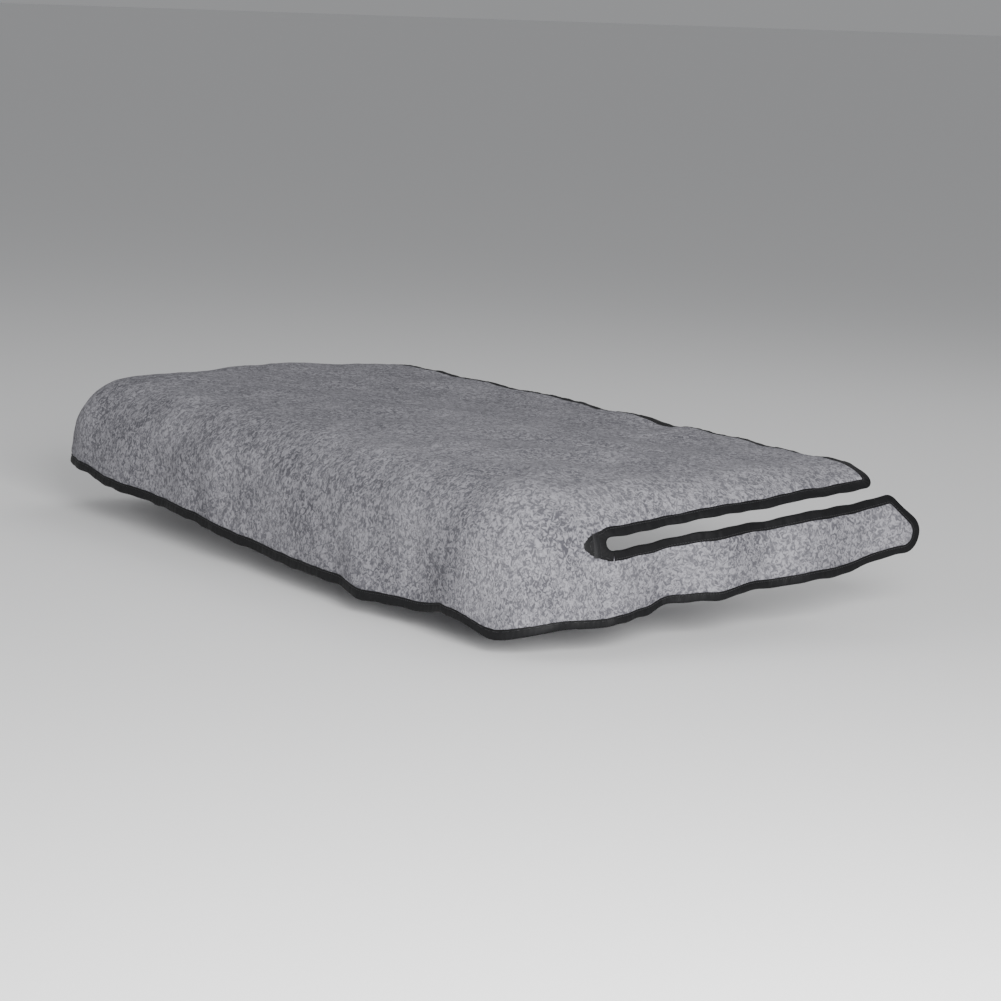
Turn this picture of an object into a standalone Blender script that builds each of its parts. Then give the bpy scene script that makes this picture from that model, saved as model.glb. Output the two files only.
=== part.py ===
"""Terry towel for the bench seat of a golf cart, in the shape it takes when it lies over the cushion.

One terry sheet covers the seat, rolls over the front edge and both ends and hangs down. Two long
cuts, open at the rear, let the armrests through, so each end has a loose flap outside its armrest.
A folded tape is sewn round every raw edge. The sheet is one cloth in use. It is modelled in the
pieces that bend against each other: the seat panel, the front drop, the corners and the end flaps.

Metres, +Z up, +X along the bench to its right end, -Y to the front. The origin is the middle of
the seat panel's flat underside.
"""

from collections.abc import Callable
from math import atan2, ceil, cos, hypot, pi, radians, sin, tan

import bmesh
import bpy
from mathutils import Vector

# The flat part of the cushion that the towel lies on.
SEAT_WIDTH = 0.96
SEAT_DEPTH = 0.45
CORNER_RADIUS = 0.04

# How the cloth rolls over the cushion's edge and then hangs, a little outwards.
EDGE_RADIUS = 0.07
ROLL_ANGLE = radians(86)

# How far the hems hang below the seat panel's underside. The towel lies askew, so its front hem
# is higher at the left end.
FRONT_HEM_DROP = 0.157
REAR_HEM_DROP = 0.105
ASKEW = 0.043

# The cloth, its tape and its threads.
TERRY = 0.005
PRESSED_TERRY = 0.002
TAPE = 0.001
TAPE_WIDTH = 0.012
TAPE_NOSE = 0.0015
THREAD_RADIUS = 0.0004
SEAM_INSET = 0.0095
GAP = 0.0003

# The armrest slits: where they start behind the panel's front edge, how far they lie from the
# flat top along the cloth at each end, and how wide they stand open.
SLIT_START = 0.05
SLIT_DOWN_FRONT = 0.097
SLIT_DOWN_REAR = 0.060
SLIT_OPENING = 0.014

# The end flaps: how far the upper edge runs past the seat's rear edge, how far the rear end slants
# back from there, its fillets, and the most that a fillet takes of the sides it joins. The upper
# fillet is a little wider than the tape that is bent round it.
FLAP_TAIL = 0.018
FLAP_SWEEP = 0.064
FLAP_TOP_EASE = 0.004
FLAP_HEM_RADIUS = 0.028
TOP_FILLET_SHARE = 0.12
HEM_FILLET_SHARE = 0.8

# Reinforcement at the front end of each slit, and the blank care label.
TACK_LENGTH = 0.026
TACK_WIDTH = 0.003
TACK_THICKNESS = 0.0008
LABEL_WIDTH = 0.045
LABEL_HEIGHT = 0.024
LABEL_THICKNESS = 0.0004
LABEL_PLACE = 0.16

# Facets.
ROLL_STEPS = 14
CORNER_STEPS = 8
TUBE_SIDES = 6

HALF_WIDTH = SEAT_WIDTH / 2
FRONT_Y = -SEAT_DEPTH / 2
REAR_Y = SEAT_DEPTH / 2
SLIT_Y = FRONT_Y + SLIT_START
FRONT_RUN = HALF_WIDTH - CORNER_RADIUS
SIDE_RUN = FRONT_RUN + CORNER_RADIUS * pi / 2
CORNER_MIDDLE = (FRONT_RUN + SIDE_RUN) / 2
ROLL_LENGTH = EDGE_RADIUS * ROLL_ANGLE
SIDES = {"left": -1, "right": 1}

Flat = tuple[float, float]
Placer = Callable[[float, float, float], Vector]


def profile(down: float, height: float) -> Flat:
    """Distance outwards and height of a point that lies `down` past the flat top along the cloth."""
    if down <= 0:
        return down, height
    angle = min(down / EDGE_RADIUS, ROLL_ANGLE)
    hanging = max(down - ROLL_LENGTH, 0)
    out = (EDGE_RADIUS + height) * sin(angle) + hanging * cos(angle)
    return out, (EDGE_RADIUS + height) * cos(angle) - EDGE_RADIUS - hanging * sin(angle)


def on_skirt(run: float, down: float, height: float) -> Vector:
    """A point of the cloth round the cushion: `run` goes round its edge from the front's middle."""
    side = 1 if run >= 0 else -1
    run = abs(run)
    out, z = profile(down, height)
    if run <= FRONT_RUN:
        return Vector((side * run, FRONT_Y - out, z))
    if run >= SIDE_RUN:
        return Vector((side * (HALF_WIDTH + out), FRONT_Y + CORNER_RADIUS + run - SIDE_RUN, z))
    angle = (run - FRONT_RUN) / CORNER_RADIUS
    reach = CORNER_RADIUS + out
    x = FRONT_RUN + reach * sin(angle)
    return Vector((side * x, FRONT_Y + CORNER_RADIUS - reach * cos(angle), z))


def on_seat(x: float, y: float, height: float) -> Vector:
    """A point of the seat panel, whose ends roll down over the cushion's ends."""
    side = 1 if x >= 0 else -1
    out, z = profile(abs(x) - HALF_WIDTH, height)
    return Vector((side * (HALF_WIDTH + out), y, z))


def run_at(y: float) -> float:
    """The run round the cushion's edge to the place on its end at this y."""
    return SIDE_RUN + y - FRONT_Y - CORNER_RADIUS


def down_for(drop: float) -> float:
    """The length of cloth, past the flat top, that reaches this far below it."""
    rolled = EDGE_RADIUS * (1 - cos(ROLL_ANGLE))
    return ROLL_LENGTH + (drop - rolled) / sin(ROLL_ANGLE)


def hem_at(run: float) -> float:
    """How far down along the cloth the finished hem lies."""
    side = 1 if run >= 0 else -1
    across = side * min(abs(run) / FRONT_RUN, 1)
    drop = FRONT_HEM_DROP - ASKEW * (1 - across) / 2
    back = max(abs(run) - SIDE_RUN, 0) / (run_at(REAR_Y) - SIDE_RUN)
    return down_for(drop + (REAR_HEM_DROP - drop) * back)


def slit_at(y: float) -> float:
    """How far down along the cloth the middle of an armrest slit lies."""
    back = (y - SLIT_Y) / (REAR_Y - SLIT_Y)
    return SLIT_DOWN_FRONT + (SLIT_DOWN_REAR - SLIT_DOWN_FRONT) * back


def side_normal(start: Flat, end: Flat) -> Flat:
    """Unit normal on the left of the line from start to end."""
    length = hypot(end[0] - start[0], end[1] - start[1])
    return (start[1] - end[1]) / length, (end[0] - start[0]) / length


def inset(outline: list[Flat], distances: list[float]) -> list[Flat]:
    """Moves each side of an anticlockwise outline inwards by its own distance."""
    moved = []
    for index, (x, y) in enumerate(outline):
        before, after = index - 1, (index + 1) % len(outline)
        n1 = side_normal(outline[before], (x, y))
        n2 = side_normal((x, y), outline[after])
        d1, d2 = distances[before], distances[index]
        turn = n1[0] * n2[1] - n1[1] * n2[0]
        if abs(turn) < 1e-6:
            moved.append((x + n2[0] * d2, y + n2[1] * d2))
        else:
            moved.append((x + (d1 * n2[1] - d2 * n1[1]) / turn, y + (d2 * n1[0] - d1 * n2[0]) / turn))
    return moved


def rounded(before: Flat, corner: Flat, after: Flat, radius: float, share: float) -> list[Flat]:
    """Points of the arc that rounds a corner and takes at most this share of its two sides."""
    a1 = atan2(before[1] - corner[1], before[0] - corner[0])
    a2 = atan2(after[1] - corner[1], after[0] - corner[0])
    half = ((a2 - a1 + pi) % (2 * pi) - pi) / 2
    shorter = min(hypot(p[0] - corner[0], p[1] - corner[1]) for p in (before, after))
    radius = min(radius, shorter * share * tan(abs(half)))
    middle = a1 + half
    centre = (
        corner[0] + radius / sin(abs(half)) * cos(middle),
        corner[1] + radius / sin(abs(half)) * sin(middle),
    )
    spread = pi / 2 - abs(half)
    steps = max(ceil(spread / radians(12)), 2)
    sign = 1 if half > 0 else -1
    angles = [middle + pi + sign * spread * (1 - 2 * k / steps) for k in range(steps + 1)]
    return [(centre[0] + radius * cos(a), centre[1] + radius * sin(a)) for a in angles]


def finish(name: str, mesh: bmesh.types.BMesh, material: bpy.types.Material) -> bpy.types.Object:
    """Turns a closed bmesh into a named object with one material."""
    bmesh.ops.recalc_face_normals(mesh, faces=mesh.faces)
    bmesh.ops.triangulate(mesh, faces=mesh.faces)
    data = bpy.data.meshes.new(name)
    mesh.to_mesh(data)
    mesh.free()
    data.materials.append(material)
    data.shade_smooth()
    data.set_sharp_from_angle(angle=radians(40))
    made = bpy.data.objects.new(name, data)
    bpy.context.collection.objects.link(made)
    return made


def flat_sheet(outline: list[Flat], bound: list[bool]) -> bmesh.types.BMesh:
    """A flat mesh of an outline. Its z is 1 where the pile stands and 0 where the tape presses it."""
    edge = inset(outline, [TAPE + GAP if b else 0 for b in bound])
    step = inset(outline, [TAPE_WIDTH + GAP if b else 0 for b in bound])
    inner = inset(outline, [TAPE_WIDTH + 2 * GAP if b else 0 for b in bound])
    mesh = bmesh.new()
    made = {}

    def vertex(point: Flat, full: bool) -> bmesh.types.BMVert:
        key = (round(point[0], 7), round(point[1], 7), float(full))
        if key not in made:
            made[key] = mesh.verts.new(key)
        return made[key]

    count = len(outline)
    touched = [bound[k] or bound[k - 1] for k in range(count)]
    for k in (k for k in range(count) if bound[k]):
        after = (k + 1) % count
        low = [vertex(edge[k], not touched[k]), vertex(edge[after], not touched[after])]
        high = [vertex(step[after], not touched[after]), vertex(step[k], not touched[k])]
        mesh.faces.new(low + high)
        mesh.faces.new([high[1], high[0], vertex(inner[after], True), vertex(inner[k], True)])
    mesh.faces.new([vertex(point, True) for point in inner])
    return mesh


def terry_piece(
    name: str, outline: list[Flat], bound: list[bool], place: Placer, folds: tuple[list, list], material
) -> bpy.types.Object:
    """A solid of terry cut to an outline and laid in place, thinner where the tape holds it."""
    flat = flat_sheet(outline, bound)
    for axis, values in enumerate(folds):
        for value in values:
            point = Vector((value, 0, 0)) if axis == 0 else Vector((0, value, 0))
            normal = Vector((1, 0, 0)) if axis == 0 else Vector((0, 1, 0))
            geometry = flat.verts[:] + flat.edges[:] + flat.faces[:]
            bmesh.ops.bisect_plane(flat, geom=geometry, dist=1e-6, plane_co=point, plane_no=normal)
    solid = bmesh.new()
    thin = (TERRY - PRESSED_TERRY) / 2
    lower, upper = {}, {}
    for vert in flat.verts:
        a, b, full = vert.co
        lower[vert] = solid.verts.new(place(a, b, thin * (1 - full)))
        upper[vert] = solid.verts.new(place(a, b, TERRY - thin * (1 - full)))
    for face in flat.faces:
        solid.faces.new([upper[v] for v in face.verts])
        solid.faces.new([lower[v] for v in reversed(face.verts)])
    for edge in flat.edges:
        if len(edge.link_faces) == 1:
            v1, v2 = edge.verts
            solid.faces.new([lower[v1], lower[v2], upper[v2], upper[v1]])
    flat.free()
    return finish(name, solid, material)


def refined(path: list[tuple[Flat, Flat]], folds: tuple[list, list]) -> list[tuple[Flat, Flat]]:
    """Adds the places where a path of (point, outward normal) crosses a fold line."""
    result = [path[0]]
    for (p1, n1), (p2, n2) in zip(path, path[1:]):
        shares = set()
        for axis, values in enumerate(folds):
            length = p2[axis] - p1[axis]
            shares |= {(v - p1[axis]) / length for v in values if abs(length) > 1e-6}
        for share in sorted(s for s in shares if 0.0005 < s < 0.9995):
            point = (p1[0] + (p2[0] - p1[0]) * share, p1[1] + (p2[1] - p1[1]) * share)
            normal = (n1[0] + (n2[0] - n1[0]) * share, n1[1] + (n2[1] - n1[1]) * share)
            result.append((point, normal))
        result.append((p2, n2))
    return result


def sweep(
    name: str, path: list[tuple[Flat, Flat]], section: list[Flat], place: Placer, material
) -> bpy.types.Object:
    """A closed solid of one section along a path. Section points are (outwards, height)."""
    mesh = bmesh.new()
    rings = []
    for (a, b), (na, nb) in path:
        rings.append([mesh.verts.new(place(a + na * e, b + nb * e, h)) for e, h in section])
    count = len(section)
    for first, second in zip(rings, rings[1:]):
        for k in range(count):
            after = (k + 1) % count
            mesh.faces.new([first[k], first[after], second[after], second[k]])
    mesh.faces.new(rings[0])
    mesh.faces.new(rings[-1][::-1])
    return finish(name, mesh, material)


def tape_section() -> list[Flat]:
    """The folded tape: two legs round the cloth, joined by a rounded nose at the finished edge.

    Each leg has a knee halfway, so that it follows the roll of the cloth beneath it.
    """
    turns = [radians(90 * k / 3) for k in range(4)]
    low = [(TAPE_NOSE * (sin(a) - 1), TAPE_NOSE * (1 - cos(a))) for a in turns]
    high = [(e, TERRY - h) for e, h in reversed(low)]
    knee = -TAPE_WIDTH / 2
    outside = [(knee, TERRY), (-TAPE_WIDTH, TERRY), (-TAPE_WIDTH, TERRY - TAPE), (knee, TERRY - TAPE)]
    inside = [(knee, TAPE), (-TAPE_WIDTH, TAPE), (-TAPE_WIDTH, 0), (knee, 0)]
    return [*low, *high, *outside, (-TAPE, TERRY - TAPE), (-TAPE, TAPE), *inside]


def thread_section(height: float) -> list[Flat]:
    """A round thread that lies along the seam at this height."""
    angles = [2 * pi * k / TUBE_SIDES for k in range(TUBE_SIDES)]
    return [(THREAD_RADIUS * cos(a) - SEAM_INSET, height + THREAD_RADIUS * sin(a)) for a in angles]


def binding(place_name: str, path: list, folds: tuple[list, list], place: Placer, finishes: dict) -> list:
    """The tape along a finished edge, with the needle's thread outside and the bobbin's inside."""
    path = refined(path, folds)
    off = GAP + THREAD_RADIUS
    return [
        sweep(f"{place_name}_binding", path, tape_section(), place, finishes["tape"]),
        sweep(f"{place_name}_needle_thread", path, thread_section(TERRY + off), place, finishes["thread"]),
        sweep(f"{place_name}_bobbin_thread", path, thread_section(-off), place, finishes["thread"]),
    ]


def roll_folds() -> list[float]:
    """Where the cloth is faceted as it rolls over the cushion's edge."""
    return [ROLL_LENGTH * k / ROLL_STEPS for k in range(ROLL_STEPS + 1)]


def corner_folds(side: int) -> list[float]:
    """Where the cloth is faceted as it goes round one front corner."""
    span = SIDE_RUN - FRONT_RUN
    return [side * (FRONT_RUN + span * k / CORNER_STEPS) for k in range(CORNER_STEPS + 1)]


def seat_panel(finishes: dict) -> list[bpy.types.Object]:
    """The flat top with its rolled ends down to the slits, and its rear and slit bindings."""
    half_open = SLIT_OPENING / 2
    ear_y = SLIT_Y + GAP
    slit_rear = (HALF_WIDTH + slit_at(REAR_Y) - half_open, REAR_Y)
    slit_front = (HALF_WIDTH + slit_at(ear_y) - half_open, ear_y)
    angles = [pi / 2 * k / CORNER_STEPS for k in range(CORNER_STEPS + 1)]
    arc = [
        (FRONT_RUN + CORNER_RADIUS * cos(a), FRONT_Y + CORNER_RADIUS * (1 - sin(a))) for a in angles
    ]
    right = [*reversed(arc), (HALF_WIDTH, ear_y), slit_front, slit_rear]
    outline = [(-x, y) for x, y in reversed(right)] + right
    bound = [True] + [False] * (len(outline) - 3) + [True, True]
    folds = ([s * (HALF_WIDTH + down) for s in (-1, 1) for down in roll_folds()], [])
    made = [terry_piece("seat_panel", outline, bound, on_seat, folds, finishes["terry"])]

    corner = slit_rear[0]
    rear_path = [((-corner, REAR_Y), (0, 1)), ((corner, REAR_Y), (0, 1))]
    made += binding("rear", rear_path, folds, on_seat, finishes)
    for label, side in SIDES.items():
        share = (REAR_Y - TAPE_WIDTH - GAP - ear_y) / (REAR_Y - ear_y)
        stop = tuple(slit_front[k] + (slit_rear[k] - slit_front[k]) * share for k in (0, 1))
        normal = (side, 0)
        path = [((side * slit_front[0], slit_front[1]), normal), ((side * stop[0], stop[1]), normal)]
        made += binding(f"slit_{label}", path, folds, on_seat, finishes)
    return made


def front_drop(finishes: dict) -> list[bpy.types.Object]:
    """The cloth that hangs in front, out to the middle of each corner, and its hem binding."""
    end = CORNER_MIDDLE - GAP / 2
    hem = [(run, hem_at(run)) for run in (end, FRONT_RUN, -FRONT_RUN, -end)]
    outline = [(-end, GAP), (end, GAP), *hem]
    bound = [False, False, True, True, True, False]
    folds = (corner_folds(-1) + corner_folds(1), roll_folds())
    made = [terry_piece("front_drop", outline, bound, on_skirt, folds, finishes["terry"])]
    path = [(point, (0, 1)) for point in reversed(hem)]
    return made + binding("front", path, folds, on_skirt, finishes)


def front_corner(label: str, side: int, finishes: dict) -> list[bpy.types.Object]:
    """The rest of one front corner, back to the slit, which never lifts, with its binding."""
    start, end = CORNER_MIDDLE + GAP / 2, run_at(SLIT_Y)
    hem = [(side * run, hem_at(side * run)) for run in (end, SIDE_RUN, start)]
    outline = [(side * start, GAP), (side * end, GAP), *hem]
    bound = [False, False, True, True, False]
    if side < 0:
        outline = [outline[0], *outline[:0:-1]]
        bound = bound[::-1]
    folds = (corner_folds(side), roll_folds())
    name = f"front_corner_{label}"
    made = [terry_piece(name, outline, bound, on_skirt, folds, finishes["terry"])]
    path = [(point, (0, 1)) for point in hem]
    made += binding(f"corner_{label}", path, folds, on_skirt, finishes)

    tack_run = side * (end - TACK_WIDTH)
    reach, half = TACK_LENGTH / 2, TACK_WIDTH / 2
    downs = [slit_at(SLIT_Y) - reach, slit_at(SLIT_Y) + reach]
    tack_path = refined([((tack_run, down), (1, 0)) for down in downs], folds)
    low = TERRY + GAP
    high = low + TACK_THICKNESS
    tack_shape = [(-half, low), (half, low), (half, high), (-half, high)]
    made.append(sweep(f"bar_tack_{label}", tack_path, tack_shape, on_skirt, finishes["thread"]))
    return made


def end_flap(label: str, side: int, finishes: dict) -> list[bpy.types.Object]:
    """The loose flap outside one armrest, bound along its slit, its end and its hem."""
    start = run_at(SLIT_Y) + GAP
    top_y, hem_y = REAR_Y + FLAP_TAIL, REAR_Y + FLAP_TAIL + FLAP_SWEEP
    half_open = SLIT_OPENING / 2
    top_front = (start, slit_at(SLIT_Y + GAP) + half_open)
    top_rear = (run_at(top_y), slit_at(top_y) + half_open)
    hem_rear = (run_at(hem_y), hem_at(side * run_at(hem_y)))
    hem_front = (start, hem_at(side * start))
    edge = [
        top_front,
        *rounded(top_front, top_rear, hem_rear, TAPE_WIDTH + FLAP_TOP_EASE, TOP_FILLET_SHARE),
        *rounded(top_rear, hem_rear, hem_front, FLAP_HEM_RADIUS, HEM_FILLET_SHARE),
        hem_front,
    ]

    def place(run: float, down: float, height: float) -> Vector:
        return on_skirt(side * run, down, height)

    folds = ([], roll_folds())
    bound = [True] * (len(edge) - 1) + [False]
    made = [terry_piece(f"end_flap_{label}", edge, bound, place, folds, finishes["terry"])]
    normals = [side_normal(p, q) for p, q in zip(edge, edge[1:])]
    path = []
    for point, n1, n2 in zip(edge, normals[:1] + normals, normals + normals[-1:]):
        share = 1 + n1[0] * n2[0] + n1[1] * n2[1]
        path.append((point, (-(n1[0] + n2[0]) / share, -(n1[1] + n2[1]) / share)))
    path[0] = (path[0][0], (0, path[0][1][1]))
    path[-1] = (path[-1][0], (0, path[-1][1][1]))
    return made + binding(f"flap_{label}", path, folds, place, finishes)


def care_label(side: int, finishes: dict) -> bpy.types.Object:
    """A blank label against the inside of one end flap, with its lower edge at the binding."""
    first = run_at(SLIT_Y + LABEL_PLACE)
    ends = [first, first + LABEL_WIDTH]
    path = [((side * run, hem_at(side * run) - TAPE_WIDTH - GAP), (0, -1)) for run in ends]
    low = -GAP - LABEL_THICKNESS
    shape = [(0, -GAP), (LABEL_HEIGHT, -GAP), (LABEL_HEIGHT, low), (0, low)]
    return sweep("care_label", path, shape, on_skirt, finishes["label"])


def hinge(name: str, place: Vector, riders: list[bpy.types.Object]) -> None:
    """Hangs pieces on an empty that lies on the line about which they turn."""
    empty = bpy.data.objects.new(name, None)
    empty.location = place
    bpy.context.collection.objects.link(empty)
    for rider in riders:
        rider.parent = empty
        rider.location = -place


def finish_of(name: str, colour: tuple[float, float, float], roughness: float) -> bpy.types.Material:
    """A plain cloth finish."""
    material = bpy.data.materials.new(name)
    material.use_nodes = True
    shader = material.node_tree.nodes["Principled BSDF"]
    shader.inputs["Base Color"].default_value = (*colour, 1)
    shader.inputs["Roughness"].default_value = roughness
    shader.inputs["Metallic"].default_value = 0
    return material


def build() -> None:
    """Makes every piece of the towel."""
    for old in list(bpy.data.objects):
        bpy.data.objects.remove(old, do_unlink=True)
    finishes = {
        "terry": finish_of("grey_terry", (0.27, 0.27, 0.285), 0.95),
        "tape": finish_of("black_tape", (0.012, 0.012, 0.013), 0.55),
        "thread": finish_of("black_thread", (0.02, 0.02, 0.021), 0.6),
        "label": finish_of("white_label", (0.75, 0.75, 0.73), 0.7),
    }
    seat_panel(finishes)
    hinge("front_fold", Vector((0, FRONT_Y, TERRY)), front_drop(finishes))
    for label, side in SIDES.items():
        front_corner(label, side, finishes)
        pieces = end_flap(label, side, finishes)
        if label == "left":
            pieces.append(care_label(side, finishes))
        start = run_at(SLIT_Y)
        outside = TERRY + 2 * (GAP + THREAD_RADIUS)
        axis_point = on_skirt(side * start, hem_at(side * start), outside)
        hinge(f"flap_fold_{label}", axis_point, pieces)


build()
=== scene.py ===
"""The finished golf cart seat towel: terry, binding tape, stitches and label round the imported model.

The towel is drawn flat, as it would be cut, and every piece is then laid over the same cushion form,
so that the terry, its tape and its stitches stay together. Metres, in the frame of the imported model.
"""

import logging
from collections.abc import Callable
from dataclasses import dataclass, field
from enum import Enum
from math import atan2, ceil, cos, pi, radians, sin

import bpy
import numpy as np
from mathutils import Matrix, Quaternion, Vector


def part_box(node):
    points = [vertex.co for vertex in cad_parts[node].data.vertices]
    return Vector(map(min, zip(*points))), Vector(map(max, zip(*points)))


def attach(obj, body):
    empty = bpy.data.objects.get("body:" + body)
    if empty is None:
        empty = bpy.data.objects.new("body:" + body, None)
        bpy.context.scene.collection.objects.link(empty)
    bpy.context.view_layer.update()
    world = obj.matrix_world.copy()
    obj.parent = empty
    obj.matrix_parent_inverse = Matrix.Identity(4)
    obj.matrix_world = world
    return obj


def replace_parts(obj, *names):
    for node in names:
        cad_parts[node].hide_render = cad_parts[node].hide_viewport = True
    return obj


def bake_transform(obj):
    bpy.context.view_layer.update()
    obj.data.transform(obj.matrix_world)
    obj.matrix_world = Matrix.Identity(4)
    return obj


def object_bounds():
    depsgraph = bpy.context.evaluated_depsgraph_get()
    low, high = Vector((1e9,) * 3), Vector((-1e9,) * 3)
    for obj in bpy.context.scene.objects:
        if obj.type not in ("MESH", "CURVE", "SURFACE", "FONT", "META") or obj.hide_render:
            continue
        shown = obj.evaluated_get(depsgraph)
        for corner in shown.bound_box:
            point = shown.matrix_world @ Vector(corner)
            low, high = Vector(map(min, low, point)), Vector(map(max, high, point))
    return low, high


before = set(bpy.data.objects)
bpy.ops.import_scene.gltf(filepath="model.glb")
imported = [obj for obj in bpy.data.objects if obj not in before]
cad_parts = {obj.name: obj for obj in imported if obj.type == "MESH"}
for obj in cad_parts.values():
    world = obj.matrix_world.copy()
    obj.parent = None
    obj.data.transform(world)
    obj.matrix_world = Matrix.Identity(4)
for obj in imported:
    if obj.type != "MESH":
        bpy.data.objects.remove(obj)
CAD_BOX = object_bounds()

Array = np.ndarray
Flat = tuple[float, float]
log = logging.getLogger("towel")

# The name of the map that holds each piece's place on the flat cloth, in metres.
CLOTH_MAP = "cloth"


class Side(Enum):
    """The towel's two ends."""

    LEFT = -1
    RIGHT = 1

    @property
    def label(self) -> str:
        """The side's name in the names of pieces."""
        return self.name.lower()


class Face(Enum):
    """The two faces of the cloth."""

    OUTER = 1
    INNER = -1


@dataclass(frozen=True)
class Swell:
    """A soft rise along one line, or a dip where its height is negative."""

    place: float
    reach: float
    height: float

    def at(self, along: Array) -> Array:
        """Its height at each place along the line."""
        return self.height * np.exp(-(((along - self.place) / self.reach) ** 2))


@dataclass(frozen=True)
class Fold:
    """A soft ridge on the seat, or a hollow where its height is negative."""

    x: float
    y: float
    turn: float
    length: float
    width: float
    height: float

    def at(self, x: Array, y: Array) -> Array:
        """Its height at each place on the seat."""
        c, s = cos(radians(self.turn)), sin(radians(self.turn))
        along = (x - self.x) * c + (y - self.y) * s
        across = (y - self.y) * c - (x - self.x) * s
        return self.height * np.exp(-((along / self.length) ** 2) - (across / self.width) ** 2)


@dataclass(frozen=True)
class Ripple:
    """An even, seeded unevenness of cloth, made of many weak waves in all directions."""

    seed: int
    shortest: float
    longest: float
    height: float
    waves: int = 28

    def at(self, x: Array, y: Array) -> Array:
        """Its height at each place on the flat cloth."""
        chance = np.random.default_rng(self.seed)
        total = np.zeros_like(x)
        for _ in range(self.waves):
            length = chance.uniform(self.shortest, self.longest)
            turn, phase = chance.uniform(0, 2 * pi, 2)
            wave = (x * cos(turn) + y * sin(turn)) * 2 * pi / length + phase
            total += length / self.longest * np.sin(wave)
        return total * self.height / np.sqrt(self.waves / 2)


@dataclass
class Spots:
    """Places on the cloth.

    `edge` is where a spot leaves the seat's flat top, `out` the level direction away from it, `down`
    the length of cloth past the flat top, and `run` the way round the seat's edge from the middle
    of the front.
    """

    edge: Array
    out: Array
    down: Array
    run: Array

    @property
    def flat(self) -> Array:
        """Where each spot lies when the cloth is spread out level."""
        return self.edge + self.out * self.down[:, None]


def smooth(share: Array) -> Array:
    """An even step from 0 to 1."""
    share = np.clip(share, 0, 1)
    return share * share * (3 - 2 * share)


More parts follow.
